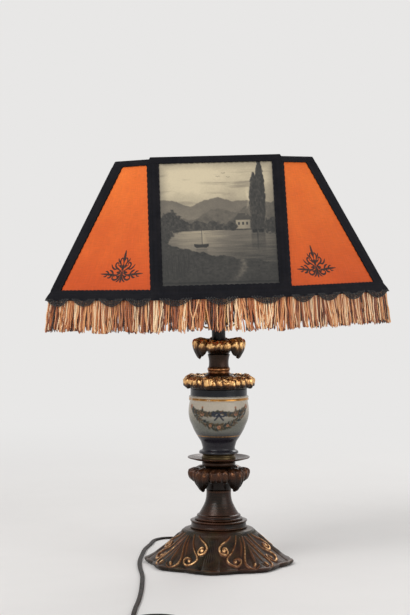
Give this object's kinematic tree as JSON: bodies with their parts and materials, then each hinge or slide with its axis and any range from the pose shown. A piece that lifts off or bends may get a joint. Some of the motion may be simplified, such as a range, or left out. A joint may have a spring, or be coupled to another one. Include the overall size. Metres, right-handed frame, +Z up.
{
  "type": "table lamp",
  "caption": "Table lamp with a cast scroll foot, porcelain urn column and six-sided fringed shade with lithophane and amber panels.",
  "frame": {"origin": "on the axis of the foot and column, at the table", "axes": "+Z up, +Y away from the side with the lithophane that faces the viewer, +X to the viewer's right"},
  "size_m": [0.4399, 0.6325, 0.5172],
  "materials": {
    "felt": "green felt",
    "antique_bronze": "dark antiqued bronze with worn gilt on its ridges",
    "gilt_metal": "worn gilding over dark bronze",
    "brass": "aged brass",
    "steel": "plain zinc-plated steel",
    "black_metal": "black paint",
    "glazed_porcelain": "glazed porcelain with a cobalt band, gilt lines and small garlands",
    "bisque_porcelain": "unglazed translucent porcelain with a relief picture",
    "amber_silk": "amber silk on card with a small printed arabesque",
    "black_tape": "black woven tape with picot edges",
    "satin_fringe": "tan and copper satin strands",
    "brown_plastic": "brown flexible plastic",
    "black_plastic": "black moulded plastic",
    "bulb_glass": "frosted glass"
  },
  "bodies": {
    "stand": {"felt_pad": "felt", "foot_casting": "antique_bronze", "base_washer": "steel", "base_nut": "steel", "foot_collar": "antique_bronze", "lower_column": "antique_bronze", "lower_leaf_capital": "antique_bronze", "plate_hub": "antique_bronze", "drip_plate": "antique_bronze", "urn_seat_ring": "brass", "porcelain_urn": "glazed_porcelain", "urn_cap": "gilt_metal", "neck": "antique_bronze", "upper_leaf_crown": "gilt_metal", "centre_pipe": "steel", "cord_bushing": "black_plastic", "cord": "brown_plastic", "cord_coil": "brown_plastic", "plug_body": "brown_plastic", "plug_blade_1": "brass", "plug_blade_2": "brass", "stem": "black_metal", "socket_nipple": "steel", "harp_saddle": "brass", "harp": "brass", "socket_cap": "brass", "socket_core": "black_plastic", "screw_shell": "brass", "socket_shell": "brass"},
    "shade": {"spider": "brass", "top_ring_wire": "black_metal", "bottom_ring_wire": "black_metal", "rib_wire_1": "black_metal", "rib_wire_2": "black_metal", "rib_wire_3": "black_metal", "rib_wire_4": "black_metal", "rib_wire_5": "black_metal", "rib_wire_6": "black_metal", "front_lithophane": "bisque_porcelain", "back_lithophane": "bisque_porcelain", "amber_panel_1": "amber_silk", "amber_panel_2": "amber_silk", "amber_panel_4": "amber_silk", "amber_panel_5": "amber_silk", "top_binding": "black_tape", "bottom_binding": "black_tape", "corner_binding_1": "black_tape", "corner_binding_2": "black_tape", "corner_binding_3": "black_tape", "corner_binding_4": "black_tape", "corner_binding_5": "black_tape", "corner_binding_6": "black_tape", "fringe": "satin_fringe"},
    "finial": {"finial": "brass"},
    "bulb": {"bulb_base": "brass", "bulb_glass": "bulb_glass"},
    "switch_key": {"switch_key": "brass"},
    "sleeve_left": {"harp_sleeve_left": "brass"},
    "sleeve_right": {"harp_sleeve_right": "brass"}
  },
  "joints": [
    {"name": "shade_turn", "type": "hinge", "parent": "stand", "child": "shade", "pos_m": [0, 0, 0.28333], "axis": [-0.027, 0, 0.9996], "continuous": true},
    {"name": "finial_screw", "type": "hinge", "parent": "stand", "child": "finial", "pos_m": [0, 0, 0.28333], "axis": [-0.027, 0, 0.9996], "continuous": true},
    {"name": "bulb_screw", "type": "hinge", "parent": "stand", "child": "bulb", "pos_m": [0, 0, 0.28333], "axis": [-0.027, 0, 0.9996], "continuous": true},
    {"name": "key_turn", "type": "hinge", "parent": "stand", "child": "switch_key", "pos_m": [-0.00118, 0, 0.32702], "axis": [0, -1, 0], "continuous": true},
    {"name": "sleeve_left_slide", "type": "slide", "parent": "stand", "child": "sleeve_left", "axis": [-0.027, 0, 0.9996], "range_m": [0, 0.012]},
    {"name": "sleeve_right_slide", "type": "slide", "parent": "stand", "child": "sleeve_right", "axis": [-0.027, 0, 0.9996], "range_m": [0, 0.012]}
  ]
}
